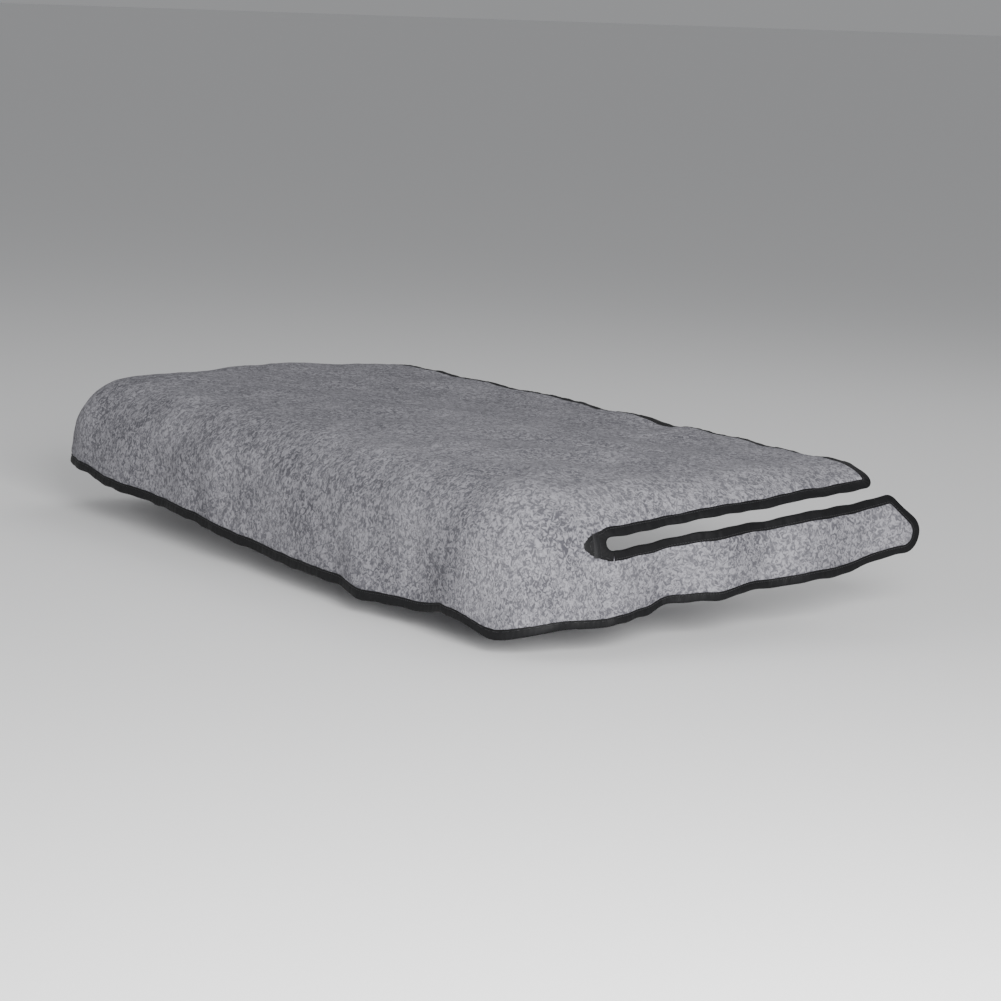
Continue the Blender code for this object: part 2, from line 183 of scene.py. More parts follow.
@dataclass(frozen=True)
class Drape:
    """The cushion's form and how the cloth lies on it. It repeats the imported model's driving sizes."""

    front_y: float
    rear_y: float
    half_width: float = 0.48
    corner_radius: float = 0.04
    edge_radius: float = 0.07
    roll_angle: float = radians(86)
    front_hem_drop: float = 0.157
    rear_hem_drop: float = 0.105
    askew: float = 0.043
    slit_start: float = 0.05
    slit_down_front: float = 0.097
    slit_down_rear: float = 0.060
    half_opening: float = 0.007
    crown: float = 0.0055
    crown_width: float = 1.2
    crown_depth: float = 0.64
    hangs_from: float = 0.03
    folds: tuple[Fold, ...] = (
        Fold(-0.47, 0.03, 80, 0.15, 0.10, 0.0055),
        Fold(-0.10, 0.10, 4, 0.24, 0.07, -0.0080),
        Fold(0.22, 0.12, -14, 0.12, 0.05, -0.0062),
        Fold(-0.16, -0.10, 7, 0.20, 0.034, 0.0042),
        Fold(0.12, -0.145, -3, 0.16, 0.032, 0.0046),
        Fold(0.33, -0.06, 58, 0.13, 0.036, 0.0050),
        Fold(0.26, -0.02, 38, 0.10, 0.024, -0.0044),
        Fold(0.40, 0.09, 78, 0.11, 0.030, 0.0036),
        Fold(-0.30, -0.02, 24, 0.11, 0.026, -0.0034),
        Fold(-0.34, 0.11, -20, 0.10, 0.028, 0.0034),
        Fold(0.03, -0.02, 16, 0.12, 0.028, 0.0030),
        Fold(0.41, -0.17, -42, 0.07, 0.024, 0.0038),
        Fold(-0.41, -0.16, 40, 0.08, 0.026, 0.0034),
    )
    waves: tuple[Swell, ...] = (
        Swell(-0.36, 0.050, 0.0050),
        Swell(-0.25, 0.040, -0.0040),
        Swell(-0.12, 0.055, 0.0040),
        Swell(0.01, 0.050, -0.0038),
        Swell(0.13, 0.045, 0.0030),
        Swell(0.25, 0.045, 0.0065),
        Swell(0.37, 0.040, -0.0065),
        Swell(0.471, 0.012, 0.0120),
        Swell(0.517, 0.022, 0.0090),
        Swell(0.590, 0.030, -0.0070),
        Swell(0.665, 0.032, 0.0075),
        Swell(0.730, 0.030, -0.0050),
        Swell(0.800, 0.034, 0.0060),
        Swell(0.880, 0.040, -0.0040),
        Swell(-0.471, 0.012, 0.0110),
        Swell(-0.520, 0.024, 0.0070),
        Swell(-0.600, 0.034, -0.0060),
        Swell(-0.690, 0.036, 0.0070),
        Swell(-0.780, 0.036, -0.0050),
        Swell(-0.860, 0.040, 0.0050),
    )
    sags: tuple[Swell, ...] = (
        Swell(-0.36, 0.090, 0.0065),
        Swell(-0.25, 0.050, 0.0030),
        Swell(0.03, 0.200, 0.0105),
        Swell(0.265, 0.045, 0.0060),
        Swell(0.415, 0.034, -0.0120),
        Swell(0.442, 0.012, -0.0055),
        Swell(0.461, 0.009, 0.0050),
        Swell(0.485, 0.012, -0.0060),
        Swell(0.515, 0.034, -0.0150),
        Swell(0.552, 0.018, -0.0050),
        Swell(0.600, 0.040, -0.0180),
        Swell(0.642, 0.020, -0.0045),
        Swell(0.695, 0.050, -0.0120),
        Swell(0.790, 0.050, -0.0060),
        Swell(0.865, 0.050, 0.0035),
        Swell(0.915, 0.060, -0.0090),
        Swell(-0.540, 0.050, -0.0040),
        Swell(-0.680, 0.050, 0.0050),
        Swell(-0.830, 0.060, -0.0040),
    )
    ripples: tuple[Ripple, ...] = (
        Ripple(11, 0.060, 0.150, 0.0015),
        Ripple(12, 0.014, 0.034, 0.00028),
    )

    @property
    def front_run(self) -> float:
        """Half the straight part of the seat's front edge."""
        return self.half_width - self.corner_radius

    @property
    def side_run(self) -> float:
        """The run from the middle of the front to where the seat's end becomes straight."""
        return self.front_run + self.corner_radius * pi / 2

    @property
    def roll_length(self) -> float:
        """The cloth that lies round the cushion's edge."""
        return self.edge_radius * self.roll_angle

    @property
    def slit_y(self) -> float:
        """Where the armrest slits end in front."""
        return self.front_y + self.slit_start

    def run_at(self, y: Array | float) -> Array | float:
        """The run to the place on the seat's straight end at this y."""
        return self.side_run + y - self.front_y - self.corner_radius

    def down_for(self, drop: Array | float) -> Array | float:
        """The length of cloth, past the flat top, that reaches this far below it."""
        rolled = self.edge_radius * (1 - cos(self.roll_angle))
        return self.roll_length + (drop - rolled) / sin(self.roll_angle)

    def hem_at(self, run: Array | float) -> Array:
        """How far down along the cloth the finished hem lies."""
        run = np.asarray(run, float)
        across = np.clip(run / self.front_run, -1, 1)
        drop = self.front_hem_drop - self.askew * (1 - across) / 2
        back = np.maximum(np.abs(run) - self.side_run, 0)
        back = back / (self.run_at(self.rear_y) - self.side_run)
        return self.down_for(drop + (self.rear_hem_drop - drop) * back)

    def slit_at(self, y: Array | float) -> Array | float:
        """How far down along the cloth the middle of an armrest slit lies."""
        back = (y - self.slit_y) / (self.rear_y - self.slit_y)
        return self.slit_down_front + (self.slit_down_rear - self.slit_down_front) * back

    def on_top(self, x: Array, y: Array) -> Spots:
        """Spots on the flat top."""
        none = np.zeros_like(x)
        return Spots(np.column_stack([x, y]), np.column_stack([none, none]), none, none)

    def on_skirt(self, run: Array, down: Array) -> Spots:
        """Spots past the flat top, anywhere round the seat's edge."""
        side = np.where(run >= 0, 1.0, -1.0)
        turn = np.clip((np.abs(run) - self.front_run) / self.corner_radius, 0, pi / 2)
        x = np.minimum(np.abs(run), self.front_run) + self.corner_radius * np.sin(turn)
        y = self.front_y + self.corner_radius * (1 - np.cos(turn))
        y = y + np.maximum(np.abs(run) - self.side_run, 0)
        out = np.column_stack([side * np.sin(turn), -np.cos(turn)])
        return Spots(np.column_stack([side * x, y]), out, down, run)

    def on_ends(self, reach: Array, y: Array) -> Spots:
        """Spots given by how far along the cloth they are from the middle line, and by their y."""
        side = np.where(reach >= 0, 1.0, -1.0)
        past = np.abs(reach) - self.half_width
        top = self.on_top(reach, y)
        end = self.on_skirt(side * self.run_at(y), np.maximum(past, 0))
        beyond = past > 0
        return Spots(
            np.where(beyond[:, None], end.edge, top.edge),
            np.where(beyond[:, None], end.out, top.out),
            end.down,
            np.where(beyond, end.run, 0),
        )

    def relief(self, spots: Spots) -> Array:
        """How far the cloth stands off the cushion's form at each spot."""
        x, y = spots.flat.T
        across = np.cos(np.clip(x / self.crown_width, -0.5, 0.5) * pi)
        total = self.crown * (across * np.cos(np.clip(y / self.crown_depth, -0.5, 0.5) * pi))
        for shape in (*self.folds, *self.ripples):
            total = total + shape.at(x, y)
        hanging = smooth((spots.down - self.hangs_from) / (self.hem_at(spots.run) - self.hangs_from))
        return total + hanging * sum(wave.at(spots.run) for wave in self.waves)

    def place(self, spots: Spots, height: Array | float) -> Array:
        """Points in space at this height over the cloth's underside."""
        share = spots.down / self.hem_at(spots.run)
        down = spots.down + share**2 * sum(sag.at(spots.run) for sag in self.sags)
        angle = np.clip(down / self.edge_radius, 0, self.roll_angle)
        hanging = np.maximum(down - self.roll_length, 0)
        radius = self.edge_radius + height + self.relief(spots)
        out = radius * np.sin(angle) + hanging * np.cos(angle)
        z = radius * np.cos(angle) - self.edge_radius - hanging * np.sin(angle)
        return np.column_stack([spots.edge + spots.out * out[:, None], z])


def vertex_normals(points: Array, faces: Array) -> Array:
    """Vertex normals before they are made unit length, so that pieces that meet can be added up."""
    corner = points[faces]
    across = np.cross(corner[:, 2] - corner[:, 0], corner[:, 3] - corner[:, 1])
    total = np.zeros_like(points)
    for k in range(faces.shape[1]):
        np.add.at(total, faces[:, k], across)
    return total


def open_edges(faces: Array, count: int) -> Array:
    """The directed edges that only one face has."""
    starts, ends = faces.ravel(), np.roll(faces, -1, axis=1).ravel()
    alone = ~np.isin(starts * count + ends, ends * count + starts)
    return np.column_stack([starts[alone], ends[alone]])


def two_faced(faces: Array, count: int) -> Array:
    """The faces of a patch, of its other side, and of the rim that closes them."""
    a, b = open_edges(faces, count).T
    rim = np.column_stack([b, a, a + count, b + count])
    return np.vstack([faces, faces[:, ::-1] + count, rim])


def make_object(name: str, points: Array, faces: list | Array, places: Array) -> bpy.types.Object:
    """A smooth mesh object with its place on the flat cloth stored for each vertex.

    Args:
        name: The piece's name.
        points: Its vertices.
        faces: Its faces, as vertex numbers.
        places: The flat place of each vertex, in metres.

    Returns:
        The new object.
    """
    mesh = bpy.data.meshes.new(name)
    mesh.from_pydata(points.tolist(), [], faces if isinstance(faces, list) else faces.tolist())
    layer = mesh.uv_layers.new(name=CLOTH_MAP)
    corners = np.zeros(len(mesh.loops), np.int32)
    mesh.loops.foreach_get("vertex_index", corners)
    layer.uv.foreach_set("vector", places[corners].astype(np.float32).ravel())
    mesh.shade_smooth()
    mesh.validate()
    made = bpy.data.objects.new(name, mesh)
    bpy.context.collection.objects.link(made)
    return made


@dataclass
class Layer:
    """A patch of terry before it is given its two faces."""

    spots: Spots
    faces: Array
    to_edge: Array


@dataclass(frozen=True)
class Terry:
    """Looped terry cloth: full between the tapes, pressed flat where a tape holds it."""

    drape: Drape
    thickness: float
    pressed: float = 0.0022
    press_end: float = 0.0100
    full_from: float = 0.0145
    swell: Swell = Swell(0.0175, 0.0045, 0.0004)

    def heights(self, to_edge: Array, face: Face) -> Array:
        """Height of one face over the cloth's underside, by the distance to the finished edge."""
        rise = smooth((to_edge - self.press_end) / (self.full_from - self.press_end))
        half = self.pressed / 2 + (self.thickness - self.pressed) / 2 * rise
        return self.thickness / 2 + face.value * (half + self.swell.at(to_edge))

    def faces_of(self, layer: Layer) -> tuple[Array, Array]:
        """The points of both faces of a patch, one after the other, and their faces."""
        points = [self.drape.place(layer.spots, self.heights(layer.to_edge, face)) for face in Face]
        count = len(layer.to_edge)
        return np.vstack(points), np.vstack([layer.faces, layer.faces[:, ::-1] + count])

    def build(self, name: str, layer: Layer, normals: Array) -> bpy.types.Object:
        """A closed sheet of terry.

        Args:
            name: The piece's name.
            layer: Its patch.
            normals: The normals of its two faces' vertices.

        Returns:
            The new object.
        """
        faces = two_faced(layer.faces, len(layer.to_edge))
        places = np.vstack([layer.spots.flat] * 2)
        made = make_object(name, self.faces_of(layer)[0], faces, places)
        made.data.normals_split_custom_set_from_vertices(normals.tolist())
        return made


# Distances from a bound edge at which the terry's mesh has a row, and its spacing elsewhere.
EDGE_ROWS = np.array([0, 0.004, 0.0080, 0.0095, 0.0110, 0.0125, 0.0140, 0.0160, 0.0185, 0.0215])
TERRY_STEP = 0.0036
TERRY_INSET = 0.0013


def rows_between(start: Array, end: Array, count: int, near_start: bool, near_end: bool) -> Array:
    """Places between two edges, closer together at an edge that is bound.

    Args:
        start: Where each column starts.
        end: Where each column ends.
        count: How many steps lie between the close rows.
        near_start: Whether the first edge is bound.
        near_end: Whether the last edge is bound.

    Returns:
        One row of places for each column.
    """
    start, end = np.atleast_1d(start)[:, None], np.atleast_1d(end)[:, None]
    head = start + EDGE_ROWS if near_start else start
    tail = end - EDGE_ROWS[::-1] if near_end else end
    share = np.linspace(0, 1, count + 1)[1:-1]
    middle = head[:, -1:] + (tail[:, :1] - head[:, -1:]) * share
    return np.hstack([head, middle, tail])


def grid_faces(index: Array) -> Array:
    """The faces of a grid of vertex numbers."""
    a, b = index[:-1, :-1].ravel(), index[:-1, 1:].ravel()
    c, d = index[1:, 1:].ravel(), index[1:, :-1].ravel()
    return np.column_stack([a, b, c, d])


@dataclass
class SeatSheet:
    """The terry over the seat, with its front skirt, both front corners and the rolls above the slits.

    `seams` and `seam_downs` say along which vertices, and how far down, each flap joins on.
    """

    drape: Drape
    rear_corner: float = 0.014
    corner_steps: int = 14
    gap_steps: int = 5
    below_steps: int = 14
    roll_share: float = 0.75
    above_rows: int = field(init=False, default=0)
    below_row: int = field(init=False, default=0)
    seams: dict[Side, Array] = field(init=False, default_factory=dict)
    seam_downs: dict[Side, Array] = field(init=False, default_factory=dict)

    @property
    def seam_y(self) -> float:
        """Where the end flaps join on."""
        return self.drape.slit_y - self.drape.half_opening - TERRY_INSET

    def slit_edge(self, y: Array, way: int) -> Array:
        """The terry's edge beside a slit: above it where way is -1, below it where way is 1."""
        return self.drape.slit_at(y) + way * (self.drape.half_opening + TERRY_INSET)

    def skirt_rows(self, runs: Array) -> Array:
        """How far down the mesh rows lie at each of these runs."""
        drape = self.drape
        ys = np.maximum(np.abs(runs) - drape.side_run, 0) + drape.front_y + drape.corner_radius
        above = self.slit_edge(np.maximum(ys, self.seam_y), -1)
        below = self.slit_edge(np.maximum(ys, self.seam_y), 1)
        steps = int(drape.slit_down_front / TERRY_STEP * self.roll_share)
        first = rows_between(above * 0, above, steps, False, True)
        gap = rows_between(above, below, self.gap_steps, False, False)
        last = rows_between(below, drape.hem_at(runs) - TERRY_INSET, self.below_steps, True, True)
        self.above_rows = first.shape[1]
        self.below_row = self.above_rows + self.gap_steps - 1
        return np.hstack([first, gap[:, 1:], last[:, 1:]])

    def layer(self) -> Layer:
        """The patch. It also notes the vertices along which the flaps join on."""
        drape = self.drape
        turns = np.linspace(0, pi / 2, self.corner_steps + 1)
        corner_y = drape.front_y + drape.corner_radius * (1 - np.cos(turns))
        corner_w = drape.front_run + drape.corner_radius * np.sin(turns)
        rear = drape.rear_y - TERRY_INSET
        count = ceil((rear - self.seam_y) / TERRY_STEP)
        side_y = rows_between(self.seam_y, rear, count, False, True)[0]
        ys = np.concatenate([corner_y, side_y])
        widths = np.concatenate([corner_w, np.full(len(side_y), drape.half_width)])
        corner_runs = drape.front_run + drape.corner_radius * turns
        side_runs = np.concatenate([corner_runs, drape.run_at(side_y)])

        across = np.linspace(-1, 1, ceil(2 * drape.front_run / TERRY_STEP) + 1)
        x, y = np.outer(widths, across), np.outer(ys, np.ones_like(across))
        top = drape.on_top(x.ravel(), y.ravel())
        index = np.arange(x.size).reshape(x.shape)

        runs = np.concatenate([-side_runs[::-1], across[1:-1] * drape.front_run, side_runs])
        tops = np.concatenate([index[::-1, 0], index[0, 1:-1], index[:, -1]])
        rows = self.skirt_rows(runs)
        kept = np.ones_like(rows, bool)
        kept[:, 0] = False
        behind = np.abs(runs) > drape.run_at(self.seam_y) + 1e-6
        kept[behind, self.above_rows :] = False
        skirt = np.full(rows.shape, -1)
        skirt[:, 0] = tops
        skirt[kept] = x.size + np.arange(kept.sum())
        run_of = np.broadcast_to(runs[:, None], rows.shape)[kept]
        down_of = rows[kept]

        past, off, end = self.rounded_rear(run_of, down_of)
        hung = drape.on_skirt(past, off)
        spots = Spots(*(np.concatenate(pair) for pair in zip(vars(top).values(), vars(hung).values())))
        faces = grid_faces(skirt.T)[:, ::-1]
        faces = faces[(faces >= 0).all(axis=1)]
        seam = np.abs(np.abs(runs) - drape.run_at(self.seam_y)) < 1e-6
        left, right = np.nonzero(seam)[0]
        for side, column in ((Side.LEFT, left), (Side.RIGHT, right)):
            self.seams[side] = skirt[column, self.below_row :]
            self.seam_downs[side] = rows[column, self.below_row :]
        to_edge = np.concatenate([drape.rear_y - y.ravel(), end])
        return Layer(spots, np.vstack([grid_faces(index), faces]), to_edge)

    def rounded_rear(self, run: Array, down: Array) -> tuple[Array, Array, Array]:
        """Rounds the corners between the rear edge and the slits.

        Args:
            run: The run of each vertex of the skirt.
            down: How far down it lies.

        Returns:
            The moved runs and downs, and each vertex's distance to the nearest finished edge.
        """
        drape, radius = self.drape, self.rear_corner
        side, run = np.sign(run), np.abs(run)
        y = run - drape.side_run + drape.front_y + drape.corner_radius
        past_slit = y < drape.slit_y
        to_rear = drape.rear_y - y
        slit = drape.slit_at(np.maximum(y, drape.slit_y))
        to_slit = np.abs(slit - down) - drape.half_opening
        front = np.hypot(y - drape.slit_y, slit - down) - drape.half_opening
        p = np.column_stack([radius - to_rear, radius - to_slit])
        inside = (p > 0).all(axis=1) & ~past_slit
        scale = np.where(inside, p.max(axis=1) / np.maximum(np.hypot(*p.T), 1e-9), 1)
        moved = p * scale[:, None]
        run = np.where(inside, run + p[:, 0] * (scale - 1), run)
        down = np.where(inside, down + p[:, 1] * (scale - 1), down)
        straight = np.where(past_slit, front, np.minimum(to_slit, to_rear))
        nearest = np.where(inside, radius - np.hypot(*moved.T), straight)
        hem = np.where(past_slit, drape.hem_at(side * run) - down, nearest)
        return side * run, down, np.minimum(nearest, hem)


def fillet(before: Flat, corner: Flat, after: Flat, radius: float) -> list[Flat]:
    """Points of the arc that rounds the corner between two straight lines."""
    a1 = atan2(before[1] - corner[1], before[0] - corner[0])
    a2 = atan2(after[1] - corner[1], after[0] - corner[0])
    half = ((a2 - a1 + pi) % (2 * pi) - pi) / 2
    reach = radius / sin(abs(half))
    centre = (corner[0] + reach * cos(a1 + half), corner[1] + reach * sin(a1 + half))
    spread = pi / 2 - abs(half)
    steps = max(ceil(spread / radians(4)), 2)
    sign = 1 if half > 0 else -1
    angles = [a1 + half + pi + sign * spread * (1 - 2 * k / steps) for k in range(steps + 1)]
    return [(centre[0] + radius * cos(a), centre[1] + radius * sin(a)) for a in angles]


Chart = Callable[[Array, Array], Spots]


@dataclass
class Route:
    """A finished edge on the flat cloth, with the cloth on the left as one goes along it.

    Its direction at a place is taken between two points that lie `glance` behind and ahead.
    """

    points: Array
    chart: Chart
    glance: float = 0.0004

    @property
    def lengths(self) -> Array:
        """The length of the edge up to each point."""
        steps = np.hypot(*np.diff(self.points, axis=0).T)
        return np.concatenate([[0], np.cumsum(steps)])

    @property
    def length(self) -> float:
        """The length of the whole edge."""
        return float(self.lengths[-1])

    def at(self, along: Array, inset: Array | float = 0.0) -> Array:
        """Flat places at these lengths along the edge, this far inside it."""
        ahead, behind = self._on(along + self.glance), self._on(along - self.glance)
        way = ahead - behind
        way = way / np.maximum(np.hypot(*way.T), 1e-12)[:, None]
        outwards = np.column_stack([way[:, 1], -way[:, 0]])
        return self._on(along) - outwards * np.reshape(inset, (-1, 1))

    def _on(self, along: Array) -> Array:
        """Places on the edge itself, with its ends carried on straight."""
        lengths = self.lengths
        place = np.column_stack([np.interp(along, lengths, self.points[:, k]) for k in (0, 1)])
        before, after = np.minimum(along, 0), np.maximum(along - self.length, 0)
        for end, inner, over in ((0, 1, before), (-1, -2, after)):
            way = (self.points[end] - self.points[inner]) * (1 if end else -1)
            place = place + way / np.hypot(*way) * over[:, None]
        return place

    def spots(self, along: Array, inset: Array | float = 0.0) -> Spots:
        """Spots on the cloth at these lengths along the edge."""
        return self.chart(*self.at(along, inset).T)


@dataclass
class EndFlap:
    """The loose terry outside one armrest slit. `seam` lists its vertices at the seat's terry."""

    side: Side
    drape: Drape
    sheet: SeatSheet
    tail: float = 0.018
    sweep: float = 0.064
    top_radius: float = 0.016
    hem_radius: float = 0.028
    columns: int = 116
    seam: Array = field(init=False, default_factory=lambda: np.zeros(0, int))

    def chart(self, run: Array, down: Array) -> Spots:
        """Spots of the flap from its own flat places."""
        return self.drape.on_skirt(self.side.value * run, down)

    def outline(self, start_y: float) -> tuple[list[Flat], list[int]]:
        """The flap's finished edge from the slit round to the hem, and its two fillets' middles."""
        drape, sign = self.drape, self.side.value
        top_y = drape.rear_y + self.tail
        start, top, low = (float(drape.run_at(y)) for y in (start_y, top_y, top_y + self.sweep))
        first = (start, float(drape.slit_at(start_y)) + drape.half_opening)
        top_rear = (top, float(drape.slit_at(top_y)) + drape.half_opening)
        hem_rear = (low, float(drape.hem_at(sign * low)))
        last = (start, float(drape.hem_at(sign * start)))
        upper = fillet(first, top_rear, hem_rear, self.top_radius)
        lower = fillet(top_rear, hem_rear, last, self.hem_radius)
        middles = [1 + len(upper) // 2, 1 + len(upper) + len(lower) // 2]
        return [first, *upper, *lower, last], middles

    def route(self) -> Route:
        """The finished edge that is bound."""
        return Route(np.array(self.outline(self.drape.slit_y)[0]), self.chart)

    def flat_area(self) -> float:
        """The area of the flap's flat cut."""
        x, y = np.array(self.outline(self.sheet.seam_y)[0]).T
        return float(abs(np.dot(x, np.roll(y, -1)) - np.dot(y, np.roll(x, -1))) / 2)

    def layer(self) -> Layer:
        """The patch, drawn between its four sides. Its first column is the seam to the seat's terry."""
        points, middles = self.outline(self.sheet.seam_y)
        edge = Route(np.array(points), self.chart)
        cuts = edge.lengths[middles]
        downs = self.sheet.seam_downs[self.side]
        t = (downs - downs[0]) / (downs[-1] - downs[0])
        middle = edge.length / 2
        s = rows_between(0.0, middle, self.columns, False, True)[0] / middle
        top = edge.at(s * cuts[0], TERRY_INSET)
        rear = edge.at(cuts[0] + t * (cuts[1] - cuts[0]), TERRY_INSET)
        hem = edge.at(edge.length - s * (edge.length - cuts[1]), TERRY_INSET)
        seam = np.column_stack([np.full(len(downs), self.drape.run_at(self.sheet.seam_y)), downs])
        top[0], hem[0], rear[0], rear[-1] = seam[0], seam[-1], top[-1], hem[-1]
        u, v = s[None, :, None], t[:, None, None]
        patch = (1 - v) * top[None] + v * hem[None] + (1 - u) * seam[:, None] + u * rear[:, None]
        ends = (1 - u) * ((1 - v) * seam[0] + v * seam[-1]) + u * ((1 - v) * rear[0] + v * rear[-1])
        flat = (patch - ends).reshape(-1, 2)
        faces = grid_faces(np.arange(len(flat)).reshape(len(t), len(s)))
        if self.side is Side.RIGHT:
            faces = faces[:, ::-1]
        self.seam = np.arange(len(t)) * len(s)
        return Layer(self.chart(*flat.T), faces, self.distance(flat, np.array(points)))

    @staticmethod
    def distance(flat: Array, edge: Array) -> Array:
        """Each flat place's distance to the finished edge."""
        nearest = np.full(len(flat), 1.0)
        for p, q in zip(edge, edge[1:]):
            way = q - p
            share = np.clip((flat - p) @ way / (way @ way), 0, 1)
            nearest = np.minimum(nearest, np.hypot(*(flat - p - share[:, None] * way).T))
        return nearest


def solid(name: str, points: Array, faces: list, places: Array) -> bpy.types.Object:
    """A closed mesh with its faces turned outwards."""
    made = make_object(name, points, faces, places)
    volume = 0.0
    for face in faces:
        if len(face) == 4:
            a, b, c, d = points[face]
            volume += np.dot(a, np.cross(b, c)) + np.dot(a, np.cross(c, d))
    if volume < 0:
        made.data.flip_normals()
    return made


@dataclass(frozen=True)
class Tape:
    """Woven tape folded over a raw edge and sewn down, a little puckered between the stitches.

    Its edge lips over the pile, its seam lies in a groove, and it wanders a little along the cloth.
    """

    drape: Drape
    middle: float
    width: float = 0.012
    half: float = 0.0020
    cloth: float = 0.0011
    seam: float = 0.0095
    step: float = 0.0024
    lip: float = 0.0002
    lip_rise: float = 0.0003
    groove_reach: float = 0.0012
    groove_depth: float = 0.0003
    fullness: float = 0.0001
    fullest: float = 0.45
    end_fade: float = 0.012
    pucker: float = 0.00030
    pucker_lengths: tuple[float, float] = (0.0094, 0.0151)
    pucker_share: float = 0.6
    pucker_middle: float = 0.0055
    pucker_reach: float = 0.0045
    wander: float = 0.00045
    wander_lengths: tuple[float, float] = (0.043, 0.071)
    wander_share: float = 0.7

    def section(self) -> tuple[Array, Array]:
        """Insets and heights of the tape's cross-section, outside first and then inside."""
        top, seam = self.half, self.seam
        outer = [
            (self.width + self.lip, self.cloth + self.lip_rise),
            (self.width - 2 * self.lip, top - self.fullness),
            (seam + self.groove_reach, top),
            (seam, top - self.groove_depth),
            (seam - self.groove_reach, top),
            (self.width * self.fullest, top + self.fullness),
            (top, top),
        ]
        arc = [radians(a) for a in (60, 30, 0, -30, -60)]
        nose = [(top * (1 - cos(a)), top * sin(a)) for a in arc]
        inner = [(e, -h) for e, h in reversed(outer)]
        back = [(self.width, -self.cloth), (top, -self.cloth), (top - self.cloth, 0)]
        back += [(top, self.cloth), (self.width, self.cloth)]
        shape = np.array([*outer, *nose, *inner, *back])
        return shape[:, 0], shape[:, 1]

    def build(self, name: str, route: Route) -> bpy.types.Object:
        """The tape along one finished edge.

        Args:
            name: The piece's name.
            route: The edge.

        Returns:
            The new object.
        """
        insets, heights = self.section()
        count = ceil(route.length / self.step)
        along = np.linspace(0, route.length, count + 1)
        fade = smooth(np.minimum(along, route.length - along) / self.end_fade)
        phase = sum(map(ord, name))
        turns = along * 2 * pi
        short, long = self.pucker_lengths
        puff = np.sin(turns / short + phase) + self.pucker_share * np.sin(turns / long + phase)
        short, long = self.wander_lengths
        drift = np.sin(turns / short + phase) + self.wander_share * np.sin(turns / long)
        off_middle = (insets - self.pucker_middle) / self.pucker_reach
        between = np.clip(1 - off_middle**2, 0, 1) * np.sign(heights)
        inset = insets[None, :] + (self.wander * drift * fade)[:, None]
        height = self.middle + heights[None, :] + (self.pucker * puff * fade)[:, None] * between[None, :]
        spots = route.spots(np.repeat(along, len(insets)), inset.ravel())
        points = self.drape.place(spots, height.ravel())
        size = len(insets)
        index = np.arange(len(points)).reshape(-1, size)
        faces = grid_faces(np.hstack([index, index[:, :1]])).tolist()
        faces += [index[0].tolist(), index[-1, ::-1].tolist()]
        girth = np.concatenate([[0], np.cumsum(np.hypot(np.diff(insets), np.diff(heights)))])
        places = np.column_stack([np.repeat(along, size), np.tile(girth, len(along))])
        made = solid(name, points, faces, places)
        made.data.set_sharp_from_angle(angle=radians(50))
        return made


@dataclass(frozen=True)
class Thread:
    """Sewing thread, one rounded piece for each stitch that shows.

    Stitches above the cloth's middle height arch outwards, and those below it arch inwards.
    """

    drape: Drape
    middle: float
    radius: float = 0.00042
    sides: int = 6
    pitch: float = 0.0036
    stitch: float = 0.0029

    def build(self, name: str, chart: Chart, starts: Array, ends: Array, base: float) -> bpy.types.Object:
        """A row of stitches.

        Args:
            name: The piece's name.
            chart: How flat places become spots.
            starts: Where each stitch goes in, on the flat cloth.
            ends: Where it comes out.
            base: The height of the surface that it lies on.

        Returns:
            The new object.
        """
        share = np.array([0, 0.12, 0.5, 0.88, 1])
        arch = np.array([-0.9, 0.35, 0.6, 0.35, -0.9]) * self.radius
        thick = np.array([0.55, 0.95, 1, 0.95, 0.55]) * self.radius
        out = 1 if base > self.middle else -1
        flat = starts[:, None] + (ends - starts)[:, None] * share[None, :, None]
        spots = chart(*flat.reshape(-1, 2).T)
        height = base + out * np.tile(arch, len(starts))
        core = self.drape.place(spots, height).reshape(len(starts), -1, 3)
        above = self.drape.place(spots, height + self.radius).reshape(core.shape) - core
        above = above / np.linalg.norm(above, axis=2, keepdims=True)
        way = core[:, -1:] - core[:, :1]
        aside = np.cross(above, way / np.linalg.norm(way, axis=2, keepdims=True))
        turn = np.arange(self.sides) * 2 * pi / self.sides
        ring = aside[:, :, None] * np.cos(turn)[:, None] + above[:, :, None] * np.sin(turn)[:, None]
        points = core[:, :, None] + ring * thick[None, :, None, None]
        index = np.arange(points.size // 3).reshape(points.shape[:3])
        faces = []
        for rings in index:
            faces += grid_faces(np.hstack([rings, rings[:, :1]])).tolist()
            faces += [rings[0].tolist(), rings[-1, ::-1].tolist()]
        places = np.column_stack([np.repeat(flat.reshape(-1, 2)[:, k], self.sides) for k in (0, 1)])
        return solid(name, points.reshape(-1, 3), faces, places)

    def seam(self, name: str, route: Route, inset: float, base: float, shift: float) -> bpy.types.Object:
        """A straight seam along a finished edge.

        Args:
            name: The piece's name.
            route: The edge.
            inset: How far inside it the seam runs.
            base: The height of the surface that it lies on.
            shift: How far along the first stitch starts.

        Returns:
            The new object.
        """
        count = int((route.length - self.pitch) / self.pitch)
        first = self.pitch / 2 + shift + np.arange(count) * self.pitch
        last = np.minimum(first + self.stitch, route.length)
        return self.build(name, route.chart, route.at(first, inset), route.at(last, inset), base)


